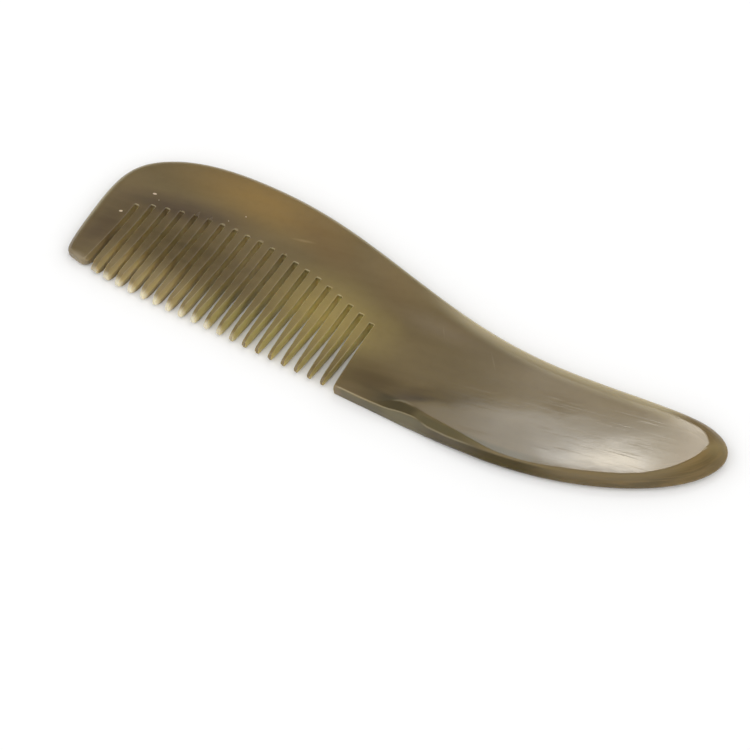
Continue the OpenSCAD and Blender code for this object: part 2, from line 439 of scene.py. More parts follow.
def saw_marks():
    """Shallow tapering nicks where the saw ran past the end of each slot."""
    bm = bmesh.new()
    for k in range(SLOT_COUNT):
        x = FIRST_SLOT_X + k * PITCH
        past, run, width, shift, blunt = SLOT_ENDS[k]
        end = slot_root(x) + past
        rings = []
        for share in (-0.25, 0.5, 1.0):
            y = end + run * share
            top = thick(x, y) + crown(x, y)
            wide = width * (1 - max(share, 0) * (1 - blunt))
            low = top - NICK_DEPTH * (1 - share) + NICK_RISE * share
            middle, flare = x + shift, wide * 1.25
            rings.append([(middle - wide, y, low), (middle + wide, y, low),
                          (middle + flare, y, top + 1), (middle - flare, y, top + 1)])
        loft(bm, rings)
    bmesh.ops.recalc_face_normals(bm, faces=bm.faces[:])
    tag_finish(bm, walls=EDGE)
    return as_object(bm, "mark_cutters")


# Line of the tips: x, y and how far the ends are trimmed back from it.
TIPS = ((-82.9, -23.4, 0.1), (-78.0, -24.2, 0.0), (-74.0, -24.8, 0.0), (-66.0, -25.0, -0.1),
        (-50.0, -25.0, 0.0), (-46.0, -25.0, 0.3), (-30.0, -25.0, 0.5), (-22.0, -25.0, 0.4),
        (-5.9, -25.0, 0.1))


def tip_wedge(up):
    """Cutter along the tip line that thins the teeth from one face and trims their ends."""
    bm = bmesh.new()
    rings = []
    way = 1 if up else -1
    for x, y, trim in TIPS:
        full = thick(x, y)
        face = full + crown(x, y) if up else 0.0
        # Distance in from the tip line, and height over the face.
        section = ((3.2, 0.0), (2.2, -0.16), (1.3, -0.42), (0.7, -0.75), (0.3 + trim, -1.1),
                   (0.05 + trim, -1.5), (trim - 0.1, -full / 2 - 0.03), (-1.5, -full / 2 - 0.03),
                   (-1.5, 1.0), (3.2, 1.0))
        rings.append([(x, y + a, face + way * b) for a, b in section])
    loft(bm, rings)
    bmesh.ops.recalc_face_normals(bm, faces=bm.faces[:])
    return as_object(bm, "tip_cutter")


def guard_corner():
    """Cutter that rounds the inner corner at the tip of the wide front tooth, and its arris."""
    radius, tip_y = 2.4, -23.0
    x = FIRST_SLOT_X - SLOT_W / 2 - 0.92 * radius
    y = tip_y + radius
    top = thick(x, y) + crown(x, y)
    softening = ((0.0, 0.8), (0.15, 0.55), (0.4, 0.3), (0.8, 0.1), (1.3, 0.0))
    levels = [(-1.0, 1.2), *softening]
    levels += [(top - z, d) for z, d in reversed(softening)] + [(top + 1.0, 1.2)]
    rings = []
    for z, d in levels:
        r = radius - d
        arc = [(x + r * math.sin(math.radians(a)), y - r * math.cos(math.radians(a)))
               for a in range(0, 91, 10)]
        right, below = x + radius + 0.6, y - 2 * radius
        section = arc + [(right, y), (right, below), (x, below)]
        rings.append([(a, b, z) for a, b in section])
    bm = bmesh.new()
    loft(bm, rings)
    bmesh.ops.recalc_face_normals(bm, faces=bm.faces[:])
    return as_object(bm, "corner_cutter")


def cut(piece, cutter):
    """Takes a cutter out of a piece."""
    mod = piece.modifiers.new("cut", "BOOLEAN")
    mod.operation = "DIFFERENCE"
    mod.solver = "EXACT"
    mod.object = cutter
    graph = bpy.context.evaluated_depsgraph_get()
    mesh = bpy.data.meshes.new_from_object(piece.evaluated_get(graph))
    piece.modifiers.clear()
    piece.data = mesh
    bpy.data.objects.remove(cutter)


def mark_rim(mesh):
    """Stores every point's distance from the outline, from the brink of the flat face and
    from the crease behind the bevel, in millimetres, and its place along the outline."""
    tree = kdtree.KDTree(len(STATIONS))
    for k, s in enumerate(STATIONS):
        tree.insert((s[0], s[1], 0), k)
    tree.balance()
    rim, lap, brink, crease = (mesh.attributes.new(name, "FLOAT", "POINT")
                               for name in ("rim", "lap", "brink", "crease"))
    for k, v in enumerate(mesh.vertices):
        at, i, away = tree.find((v.co.x / MM, v.co.y / MM, 0))
        s = STATIONS[i]
        inset = (at.x - v.co.x / MM) * s[2] + (at.y - v.co.y / MM) * s[3] if away < FAR else FAR
        rim.data[k].value = inset
        brink.data[k].value = inset - s[4]
        crease.data[k].value = inset - s[5]
        front = i < len(STATIONS) / 4 and s[0] < SEAM_X
        lap.data[k].value = (i + len(STATIONS) * front) / NET_STEPS


# Turn between two faces, in degrees, from which the edge between them is sharp.
SHARP_TURN = 28


def make_comb():
    """The cut comb, scaled to metres, with its faces' finish and its points' places stored."""
    comb = blank()
    cut(comb, tip_wedge(True))
    cut(comb, tip_wedge(False))
    cut(comb, guard_corner())
    cut(comb, slots())
    cut(comb, saw_marks())
    bm = bmesh.new()
    bm.from_mesh(comb.data)
    bmesh.ops.remove_doubles(bm, verts=bm.verts[:], dist=1e-4)
    bmesh.ops.scale(bm, vec=(MM, MM, MM), verts=bm.verts[:])
    bmesh.ops.triangulate(bm, faces=[f for f in bm.faces if len(f.verts) > 4])
    finish = bm.faces.layers.float.new("finish")
    for face in bm.faces:
        face[finish] = face.material_index / 2
        face.material_index = POLISHED
    mesh = bpy.data.meshes.new("horn_comb")
    bm.to_mesh(mesh)
    bm.free()
    comb.data = mesh
    comb.name = "horn_comb"
    mark_rim(mesh)
    mesh.shade_smooth()
    mesh.set_sharp_from_angle(angle=math.radians(SHARP_TURN))
    return comb


# Shader nodes

class Nodes:
    """Short names for the nodes of one tree. A value may be a socket, a number or a tuple."""

    def __init__(self, tree):
        self.tree = tree

    def add(self, kind, inputs=(), **settings):
        item = self.tree.nodes.new(kind)
        for name, value in settings.items():
            setattr(item, name, value)
        for key, value in dict(inputs).items():
            self.feed(value, item.inputs[key])
        return item

    def feed(self, value, socket):
        if isinstance(value, bpy.types.NodeSocket):
            self.tree.links.new(value, socket)
        else:
            socket.default_value = value

    def math(self, operation, a, b=0.0, c=0.0):
        return self.add("ShaderNodeMath", {0: a, 1: b, 2: c}, operation=operation).outputs[0]

    def chain(self, operation, values):
        result = values[0]
        for value in values[1:]:
            result = self.math(operation, result, value)
        return result

    def product(self, *values):
        return self.chain("MULTIPLY", values)

    def total(self, *values):
        return self.chain("ADD", values)

    def largest(self, *values):
        return self.chain("MAXIMUM", values)

    def ramp(self, value, low, high, to_low=0.0, to_high=1.0):
        """Smooth change from to_low where the value is low to to_high where it is high."""
        return self.add("ShaderNodeMapRange", {0: value, 1: low, 2: high, 3: to_low, 4: to_high},
                        interpolation_type="SMOOTHSTEP").outputs[0]

    def bell(self, value, middle, reach):
        """One where the value is at the middle, falling away over the reach on both sides."""
        off = self.math("MULTIPLY_ADD", value, 1 / reach, -middle / reach)
        return self.math("EXPONENT", self.product(self.math("POWER", off, 2.0), -1.0))

    def mix(self, share, a, b, blend="MIX"):
        """Colour b over colour a by a share."""
        return self.add("ShaderNodeMix", {0: share, 6: a, 7: b}, data_type="RGBA",
                        blend_type=blend).outputs[2]

    def vector(self, operation, a, b=(0, 0, 0)):
        return self.add("ShaderNodeVectorMath", {0: a, 1: b}, operation=operation).outputs[0]

    def scaled(self, vector, factor):
        return self.add("ShaderNodeVectorMath", {0: vector, "Scale": factor},
                        operation="SCALE").outputs[0]

    def turned(self, vector, angle):
        return self.add("ShaderNodeVectorRotate", {"Vector": vector, "Angle": angle},
                        rotation_type="Z_AXIS").outputs[0]

    def parts(self, vector):
        return self.add("ShaderNodeSeparateXYZ", {0: vector}).outputs

    def joined(self, x, y):
        return self.add("ShaderNodeCombineXYZ", {0: x, 1: y}).outputs[0]

    def clouds(self, vector, scale, detail):
        return self.add("ShaderNodeTexNoise", {"Vector": vector, "Scale": scale,
                                               "Detail": detail}).outputs["Fac"]

    def attribute(self, name):
        return self.add("ShaderNodeAttribute", attribute_name=name).outputs["Fac"]


def new_group(name, inputs):
    """Group that makes one mask from its inputs: their names, kinds and values."""
    group = bpy.data.node_groups.new(name, "ShaderNodeTree")
    for label, kind, value in inputs:
        socket = group.interface.new_socket(label, in_out="INPUT", socket_type="NodeSocket" + kind)
        socket.default_value = value
    group.interface.new_socket("Mask", in_out="OUTPUT", socket_type="NodeSocketFloat")
    given = group.nodes.new("NodeGroupInput").outputs
    return Nodes(group), given, group.nodes.new("NodeGroupOutput").inputs[0]


def patch_group():
    """Soft oval area on the plan of the comb, one at its middle and nothing outside."""
    nodes, given, out = new_group("soft_patch", (
        ("Vector", "Vector", (0, 0, 0)), ("Centre", "Vector", (0, 0, 0)),
        ("Size", "Vector", (1, 1, 1)), ("Turn", "Float", 0.0), ("Firmness", "Float", 0.0)))
    away = nodes.vector("SUBTRACT", given["Vector"], given["Centre"])
    scaled = nodes.vector("DIVIDE", nodes.turned(away, given["Turn"]), given["Size"])
    flat = nodes.vector("MULTIPLY", scaled, (1, 1, 0))
    length = nodes.add("ShaderNodeVectorMath", {0: flat}, operation="LENGTH").outputs["Value"]
    nodes.feed(nodes.ramp(length, 1.0, given["Firmness"]), out)
    return nodes.tree


# Turn of the horn's growth from the comb's length, in radians.
GRAIN_TURN = -0.2

# Patterns in the grain: scale, stretch, detail, and the noise values where it starts and
# is full.
CLOUDS = (34, (0.5, 1.2, 1.0), 3.0, 0.3, 0.7)
STREAKS = (190, (0.25, 1.6, 1.6), 4.0, 0.35, 0.7)
MOTTLE = (480, (0.8, 1.0, 1.0), 2.0, 0.4, 0.75)
WEAR = (90, (0.6, 1.0, 1.0), 4.0, 0.35, 0.75)
SCRATCHES = (900, (0.06, 2.2, 1.0), 2.0, 0.55, 0.8)
UNEVENNESS = (240, (0.7, 1.0, 1.0), 2.0, 0.2, 0.8)


def grain_group():
    """Clouds and growth streaks that run along the horn."""
    nodes, given, out = new_group("horn_grain", (
        ("Vector", "Vector", (0, 0, 0)), ("Scale", "Float", 60.0),
        ("Stretch", "Vector", (1, 1, 1)), ("Detail", "Float", 3.0),
        ("Low", "Float", 0.35), ("High", "Float", 0.65)))
    along = nodes.turned(given["Vector"], GRAIN_TURN)
    stretched = nodes.vector("MULTIPLY", along, given["Stretch"])
    clouds = nodes.clouds(stretched, given["Scale"], given["Detail"])
    nodes.feed(nodes.ramp(clouds, given["Low"], given["High"]), out)
    return nodes.tree


# Horn

def tone(r, g, b):
    """Scene-linear colour of an 8-bit display colour."""
    linear = (((c / 255 + 0.055) / 1.055) ** 2.4 if c > 10 else c / 255 / 12.92 for c in (r, g, b))
    return (*linear, 1.0)


# What the gloss adds to the horn's colour, how much brighter than its colour the horn looks
# in this light, and the darkest colour left for it.
GLOSS_LIFT = 0.02
HORN_GAIN = 1.15
DARKEST = 0.006


def seen(r, g, b):
    """Colour of the horn itself where it looks r, g, b under its own gloss."""
    return (*(max(c - GLOSS_LIFT, DARKEST) / HORN_GAIN for c in tone(r, g, b)[:3]), 1.0)


# Colours of the horn as they look, and how strong they are: its clouds, growth streaks,
# mottle, the chips with their painted glint, the fine lines in the rim, and the painted
# highlights on the broken edges of the slots and on the ends of the teeth.
CLOUD_DARK, CLOUD_LIGHT = (111, 97, 69), (122, 107, 77)
STREAK_TONE, STREAK_SHARE = (140, 122, 88), 0.16
MOTTLE_TONE, MOTTLE_SHARE = (92, 78, 56), 0.08
CHIP_GLINT_TONE, CHIP_GLINT_SHARE = (214, 196, 168), 0.85
RIM_LINE_TONE = (146, 122, 84)
EDGE_HIGHLIGHT_TONE, EDGE_HIGHLIGHT_SHARE = (198, 184, 138), 0.42
TOOTH_END_HIGHLIGHT_TONE = (214, 208, 188)

# Areas of other colour on the comb, one of them a painted highlight, in millimetres: x, y,
# half length, half width, turn in degrees, strength, colour.
PATCHES = (
    (-52.0, 18.5, 40.0, 13.0, 0, 1.0, (147, 121, 75)),
    (-87.0, 4.0, 6.0, 10.0, 0, 0.6, (127, 110, 80)),
    (-30.0, 14.0, 22.0, 9.0, -24, 0.7, (124, 102, 68)),
    (-9.0, 14.0, 18.0, 7.0, -16, 0.6, (142, 123, 88)),
    (-71.0, 4.5, 28.0, 7.0, 12, 1.0, (92, 79, 64)),
    (-86.0, -11.0, 8.0, 18.0, -4, 0.8, (96, 81, 63)),
    (-64.0, -6.0, 36.0, 15.0, 0, 0.9, (89, 76, 51)),
    (-65.0, -21.8, 30.0, 11.5, 0, 0.95, (147, 132, 98)),
    (-30.0, -19.0, 36.0, 9.0, 0, 0.6, (145, 131, 87)),
    # Painted highlight: the pale crescent at the tip of the wide front tooth.
    (-85.5, -22.3, 4.5, 1.8, -8, 0.9, (141, 129, 104)),
    (-17.0, -6.0, 28.0, 18.0, -8, 1.0, (157, 140, 89)),
    (-2.0, -3.0, 6.0, 8.0, 0, 0.7, (136, 120, 80)),
    (-6.0, 9.0, 16.0, 8.0, -28, 0.6, (120, 101, 70)),
    (2.0, -18.0, 22.0, 10.0, 0, 0.8, (100, 85, 57)),
    (7.0, -18.6, 15.0, 5.6, 4, 0.5, (84, 71, 48)),
    (14.5, -17.0, 11.0, 3.4, 36, 0.8, (80, 68, 47)),
    (24.0, -13.0, 13.0, 4.0, 20, 0.65, (84, 74, 55)),
    (16.5, -17.4, 8.0, 1.8, 28, 0.7, (66, 57, 40)),
    (20.0, -6.0, 20.0, 16.0, 15, 0.7, (114, 101, 76)),
    (46.0, 2.0, 44.0, 9.0, 4, 0.5, (124, 109, 82)),
    (11.0, 5.0, 18.0, 5.5, 0, 0.7, (134, 119, 96)),
    (-36.5, 12.2, 4.5, 0.7, 15, 0.7, (160, 138, 96)),
    (11.5, 4.4, 2.8, 0.25, -55, 0.22, (168, 150, 118)),
    (27.5, 2.4, 4.0, 0.3, -50, 0.22, (168, 150, 118)),
    (86.0, 0.0, 10.0, 20.0, 12, 0.8, (122, 101, 66)),
)

# Small chips in the face, whose brightness is a painted glint: x, y, half length, half width,
# turn in degrees. Firmness is the share of that reach over which they are full.
CHIP_FIRMNESS = 0.55
CHIPS = (
    (-80.2, 5.9, 0.7, 0.34, 15),
    (-84.8, -3.8, 0.62, 0.36, 25),
    (-54.3, 11.5, 0.22, 0.2, 0),
    (-78.0, 4.6, 0.16, 0.14, 0),
    (-57.6, 7.9, 0.2, 0.14, 0),
)

# Bands beside the outline: the places on the net where they start, are full, fade and end,
# the insets where they are full and gone, strength and colour. In turn the pale painted
# reflection along the handle's back edge, its greener run to the head, painted shade at the
# dark start of the wide bevel and over the bevel, and the brown rim under the handle.
RIM_BANDS_WITH_PAINTED_LIGHT = (
    ((12.6, 13.4, 16.0, 17.2), 0.4, 5.2, 0.85, (196, 184, 152)),
    ((16.0, 17.2, 24.0, 25.0), 0.4, 2.0, 0.6, (154, 143, 104)),
    ((4.45, 5.0, 5.15, 5.35), 4.0, 5.4, 0.8, (72, 65, 44)),
    ((5.15, 5.35, 7.0, 7.8), 3.2, 4.6, 0.9, (101, 93, 67)),
    ((6.6, 8.0, 11.5, 12.4), 2.4, 6.0, 0.7, (118, 101, 70)),
)

# Painted shade on the edge below the crease: the same four places, and colour.
BELOW_CREASE_SHADE = (
    ((4.4, 4.45, 5.3, 5.6), (94, 86, 62)),
    ((4.82, 4.95, 5.2, 5.4), (102, 94, 68)),
    ((5.3, 5.6, 7.0, 8.0), (79, 69, 46)),
)

# Painted highlights on the arrises: what they follow, half width, strength, the same four places,
# and colour.
PAINTED_HIGHLIGHT_LINES = (
    ("crease", 0.3, 0.6, (4.35, 4.42, 5.2, 5.34), (170, 156, 122)),
    ("crease", 0.35, 0.5, (5.3, 5.42, 5.9, 6.3), (160, 148, 118)),
    ("brink", 0.5, 0.4, (4.9, 4.98, 5.08, 5.2), (160, 148, 118)),
)

# The bevel round the handle's end: its four places and strength, its scene-linear colours
# before and after it turns round the end, lit at its inner side and in painted shade at its
# outer side, and the area, strength and colour of the painted highlight at its very tip.
BEVEL_PLACES, BEVEL_SHARE = (5.7, 6.6, 11.4, 12.2), 0.9
BEVEL_LIT = ((0.19, 0.145, 0.075, 1), (0.21, 0.145, 0.06, 1))
BEVEL_SHADED = ((0.085, 0.062, 0.027, 1), (0.125, 0.088, 0.034, 1))
BEVEL_TIP_AREA, BEVEL_TIP_SHARE = (88.5, 8.5, 6.5, 6.0, 0), 0.8
BEVEL_TIP_HIGHLIGHT = (0.24, 0.185, 0.085, 1)

# Fine lines in the rim under the handle: their four places, the insets where they are full
# and gone, and strength.
RIM_LINES = ((7.0, 9.0, 12.6, 13.4), 5.0, 6.2, 0.35)

# Painted light on the sawn walls, which brightens them more the deeper they lie in the slot.
# Factors on the face's colour, close to the face and deep in the slot: for the slots' upper
# parts, for their lower parts near the front, and for those near the handle. The last factor
# is painted shade for the darkest spots near the front.
UPPER_WALL_PAINTED_LIGHT = ((1.1, 1.15, 1.1, 1), (3.85, 4.3, 4.5, 1))
FRONT_WALL_PAINTED_LIGHT = ((1.05, 1.05, 1.0, 1), (2.9, 3.0, 2.9, 1))
BACK_WALL_PAINTED_LIGHT = ((1.4, 1.55, 1.5, 1), (2.35, 2.6, 2.5, 1))
WALL_PAINTED_SHADE = (0.6, 0.5, 0.4, 1)

# Roughness of the polish, and what wear and the saw add. Specular level, and what the bevel
# and the walls lose of it.
ROUGH, ROUGH_WORN, ROUGH_SAWN = 0.03, 0.02, 0.35
SPECULAR, SPECULAR_LOSS = 0.5, 0.32

# Relief: heights of scratches, slow unevenness and chips, as shares of the bump's distance.
SCRATCH_HEIGHT, UNEVEN_HEIGHT, CHIP_HEIGHT = -0.5, 0.6, 6.0
BUMP = {"Strength": 0.11, "Distance": 0.00003}

# The horn's body: its refraction, and the share of light that spreads in it, with its
# relative reach by colour and its reach in metres.
BODY = {"IOR": 1.54, "Subsurface Weight": 0.6, "Subsurface Radius": (1.0, 0.8, 0.4),
        "Subsurface Scale": 0.0035}


class HornNodes(Nodes):
    """Nodes of the horn. Places are in millimetres, but for the grain's, which is in metres."""

    def __init__(self, tree):
        super().__init__(tree)
        place = self.add("ShaderNodeTexCoord").outputs
        self.spot = place["Object"]
        self.plan = self.scaled(self.spot, 1 / MM)
        self.x, self.y, self.z = self.parts(self.plan)
        self.facing = self.parts(place["Normal"])
        self.at = {name: self.attribute(name)
                   for name in ("rim", "lap", "brink", "crease", "finish")}
        # The finish is 0 on polished faces, a half on sawn walls and 1 on broken edges.
        self.sawn = self.ramp(self.at["finish"], 0.2, 0.45)
        self.edge = self.ramp(self.at["finish"], 0.6, 0.9)
        self.wall = self.math("SUBTRACT", self.sawn, self.edge)
        self.patch, self.grain = patch_group(), grain_group()
        self.bevel = self.product(self.ramp(self.at["brink"], 0.2, -0.3),
                                  self.stretch(*BEVEL_PLACES))
        self.chips = self.largest(*(self.area(*chip, CHIP_FIRMNESS) for chip in CHIPS))

    def area(self, x, y, length, width, turn, firm=0.0):
        return self.add("ShaderNodeGroup", {
            "Vector": self.plan, "Centre": (x, y, 0), "Size": (length, width, 1),
            "Turn": -math.radians(turn), "Firmness": firm}, node_tree=self.patch).outputs[0]

    def streaks(self, scale, stretch, detail, low, high):
        return self.add("ShaderNodeGroup", {
            "Vector": self.spot, "Scale": scale, "Stretch": stretch, "Detail": detail,
            "Low": low, "High": high}, node_tree=self.grain).outputs[0]

    def stretch(self, start, full, fade, end):
        """Part of the outline between two places."""
        lap = self.at["lap"]
        return self.product(self.ramp(lap, start, full), self.ramp(lap, end, fade))

    def band(self, places, full, gone, strength):
        """Part of the rim between two places, down to an inset."""
        inset = self.ramp(self.at["rim"], gone, full)
        return self.product(self.stretch(*places), inset, strength)


def face_colour(nodes):
    """Clouds, patches (one a painted highlight), growth streaks, mottle, and chips with painted
    glints.
    """
    colour = nodes.mix(nodes.streaks(*CLOUDS), seen(*CLOUD_DARK), seen(*CLOUD_LIGHT))
    for *area, strength, patch_tone in PATCHES:
        colour = nodes.mix(nodes.product(nodes.area(*area), strength), colour, seen(*patch_tone))
    streaks = nodes.product(nodes.streaks(*STREAKS), STREAK_SHARE)
    colour = nodes.mix(streaks, colour, seen(*STREAK_TONE))
    mottle = nodes.product(nodes.streaks(*MOTTLE), MOTTLE_SHARE)
    colour = nodes.mix(mottle, colour, seen(*MOTTLE_TONE))
    return nodes.mix(nodes.product(nodes.chips, CHIP_GLINT_SHARE), colour, tone(*CHIP_GLINT_TONE))


def rim_colour(nodes, colour):
    """Bands, bevel, creases and fine lines along the outline, with painted light and shade in them.
    """
    lap, brink = nodes.at["lap"], nodes.at["brink"]
    for places, full, gone, strength, band_tone in RIM_BANDS_WITH_PAINTED_LIGHT:
        colour = nodes.mix(nodes.band(places, full, gone, strength), colour, seen(*band_tone))
    # Painted light and shade across the bevel, and a painted highlight at its tip.
    inner = nodes.mix(nodes.ramp(lap, 9.2, 10.2), *BEVEL_LIT)
    outer = nodes.mix(nodes.ramp(lap, 9.0, 9.8), *BEVEL_SHADED)
    shade = nodes.mix(nodes.ramp(brink, -0.4, -3.0), inner, outer)
    tip = nodes.product(nodes.area(*BEVEL_TIP_AREA), BEVEL_TIP_SHARE)
    shade = nodes.mix(tip, shade, BEVEL_TIP_HIGHLIGHT)
    colour = nodes.mix(nodes.product(nodes.bevel, BEVEL_SHARE), colour, shade)
    # Painted shade on the edge below the crease.
    below = nodes.ramp(nodes.at["crease"], 0.1, -0.4)
    for places, below_tone in BELOW_CREASE_SHADE:
        colour = nodes.mix(nodes.product(below, nodes.stretch(*places)), colour, seen(*below_tone))
    # Painted highlights along the crease and the brink.
    for follows, half, strength, places, line_tone in PAINTED_HIGHLIGHT_LINES:
        near = nodes.ramp(nodes.math("ABSOLUTE", nodes.at[follows]), half, 0.0)
        share = nodes.product(near, nodes.stretch(*places), strength)
        colour = nodes.mix(share, colour, seen(*line_tone))
    place = nodes.joined(nodes.product(lap, 1.1), nodes.product(nodes.at["rim"], 1.7))
    lines = nodes.ramp(nodes.clouds(place, 1.3, 3.0), 0.45, 0.7)
    lines = nodes.product(lines, nodes.band(*RIM_LINES))
    return nodes.mix(lines, colour, seen(*RIM_LINE_TONE))


def wall_colour(nodes, colour):
    """Painted light and shade on the sawn walls, and painted highlights on broken edges and tooth
    ends.
    """
    x, y, z = nodes.x, nodes.y, nodes.z

    # The painted light on the slots' upper parts is weaker towards the handle.
    along = nodes.total(nodes.ramp(x, -45.0, -37.0, 1.0, 0.76),
                        nodes.ramp(x, -20.0, -10.0, 0.0, -0.06))
    upper = nodes.scaled(nodes.mix(nodes.ramp(z, 3.9, 2.1), *UPPER_WALL_PAINTED_LIGHT), along)

    # Near the front, painted shade darkens the walls low down by the tips, and the first slot.
    deep = nodes.product(nodes.ramp(z, 3.8, 1.8), nodes.ramp(y, -22.0, -14.0, 0.5, 1.0))
    dark = nodes.product(nodes.ramp(z, 1.4, 0.6), nodes.ramp(y, -16.0, -19.0, 0.0, 0.7))
    dark = nodes.largest(dark, nodes.ramp(x, -80.0, -82.0, 0.0, 0.4))
    front = nodes.mix(dark, nodes.mix(deep, *FRONT_WALL_PAINTED_LIGHT), WALL_PAINTED_SHADE)
    back = nodes.mix(nodes.ramp(z, 4.2, 1.2), *BACK_WALL_PAINTED_LIGHT)
    lower = nodes.mix(nodes.ramp(x, -60.0, -40.0), front, back)
    lit = nodes.mix(nodes.ramp(y, -5.0, -13.0), upper, lower)
    colour = nodes.mix(nodes.wall, colour, nodes.mix(1.0, colour, lit, "MULTIPLY"))

    # Painted highlights lie on the broken edges that face left, by a line across the slots or
    # high up near the front, and, less so, on those that face right near the tips and those at
    # the slots' ends.
    to_left = nodes.ramp(nodes.facing[0], 0.0, -0.25)
    across = nodes.math("MULTIPLY_ADD", x, -0.232, nodes.total(y, 2.7))
    line = nodes.ramp(nodes.math("ABSOLUTE", across), 8.5, 5.5)
    head = nodes.product(nodes.ramp(x, -50.0, -62.0, 0.0, 0.5), nodes.ramp(y, -14.0, -10.0))
    left = nodes.product(to_left, nodes.largest(line, head))
    right = nodes.product(nodes.ramp(nodes.facing[0], 0.0, 0.25, 0.0, 0.35),
                          nodes.ramp(y, -11.0, -15.0), nodes.ramp(x, -60.0, -54.0))
    end = nodes.ramp(nodes.facing[1], -0.1, -0.4, 0.0, 0.7)
    pale = nodes.product(nodes.edge, nodes.largest(left, right, end), EDGE_HIGHLIGHT_SHARE)
    colour = nodes.mix(pale, colour, tone(*EDGE_HIGHLIGHT_TONE))
    # Painted highlight on the ends of the teeth towards the front.
    tips = nodes.product(nodes.ramp(y, -22.5, -24.6), nodes.ramp(x, -30.0, -45.0),
                         nodes.ramp(x, -83.5, -80.0, 0.0, 0.7))
    return nodes.mix(tips, colour, tone(*TOOTH_END_HIGHLIGHT_TONE))


def horn_material():
    mat = bpy.data.materials.new("polished_horn")
    mat.use_nodes = True
    nodes = HornNodes(mat.node_tree)
    shader = mat.node_tree.nodes["Principled BSDF"].inputs
    nodes.feed(wall_colour(nodes, rim_colour(nodes, face_colour(nodes))), shader["Base Color"])

    rough = nodes.math("MULTIPLY_ADD", nodes.streaks(*WEAR), ROUGH_WORN, ROUGH)
    rough = nodes.math("MULTIPLY_ADD", nodes.sawn, ROUGH_SAWN, rough)
    nodes.feed(rough, shader["Roughness"])
    dull = nodes.largest(nodes.bevel, nodes.wall)
    specular = nodes.math("MULTIPLY_ADD", dull, -SPECULAR_LOSS, SPECULAR)
    nodes.feed(specular, shader["Specular IOR Level"])

    height = nodes.product(nodes.streaks(*SCRATCHES), SCRATCH_HEIGHT)
    height = nodes.math("MULTIPLY_ADD", nodes.streaks(*UNEVENNESS), UNEVEN_HEIGHT, height)
    height = nodes.math("MULTIPLY_ADD", nodes.chips, CHIP_HEIGHT, height)
    bump = nodes.add("ShaderNodeBump", {"Height": height, **BUMP})
    nodes.feed(bump.outputs[0], shader["Normal"])
    for name, value in BODY.items():
        nodes.feed(value, shader[name])
    return mat


# Camera, floor and light

# The photograph's camera: its place and what it looks at in metres, its focal length and
# the picture's width in pixels, and the sensor's width in millimetres.
CAMERA_PLACE = Vector((0.21105, -0.36462, 0.5383))
CAMERA_TARGET = Vector((0.00314, -0.01666, 0.004))
FOCAL_PIXELS = 2600
PICTURE_PIXELS = 750
SENSOR = 36

# The floor: half its side in metres, its grey and its roughness.
FLOOR_HALF = 3.0
FLOOR_GREY = 0.9
FLOOR_ROUGH = 0.9


def make_camera():
    data = bpy.data.cameras.new("camera")
    data.sensor_width = SENSOR
    data.lens = SENSOR * FOCAL_PIXELS / PICTURE_PIXELS
    data.clip_start = 0.01
    cam = bpy.data.objects.new("camera", data)
    bpy.context.collection.objects.link(cam)
    cam.location = CAMERA_PLACE
    cam.rotation_euler = (CAMERA_TARGET - CAMERA_PLACE).to_track_quat("-Z", "Y").to_euler()
    bpy.context.scene.camera = cam


def make_floor():
    bm = bmesh.new()
    bmesh.ops.create_grid(bm, x_segments=1, y_segments=1, size=FLOOR_HALF)
    floor = as_object(bm, "floor")
    mat = bpy.data.materials.new("floor_paper")
    mat.use_nodes = True
    shader = mat.node_tree.nodes["Principled BSDF"]
    shader.inputs["Base Color"].default_value = (FLOOR_GREY, FLOOR_GREY, FLOOR_GREY, 1)
    shader.inputs["Roughness"].default_value = FLOOR_ROUGH
    floor.data.materials.append(mat)


# The window over the comb, in millimetres: middle of its far edge, turn of that edge in
# degrees, reach along it to both sides, and reach on its near side and beyond it.
WINDOW_EDGE = (-271.0, 622.0, 1000.0)
WINDOW_TURN = 23.3
WINDOW_ALONG = (-260.0, 280.0)
WINDOW_OUT = (-110.0, 150.0)

# Soft spots in it, dimmer and brighter: along, out, reach along, reach out, brightness.
WINDOW_SPOTS = ((18.0, 3.0, 13.0, 9.0, -1.5), (-3.0, 0.0, 7.0, 6.0, 0.9))

# Brightness of its core and of its part that the handle's tip mirrors, and its two colours.
CORE_LEVEL, TIP_LEVEL = 9.5, 5.2
COOL, WARM = (0.97, 1, 1.02, 1), (1, 0.92, 0.77, 1)


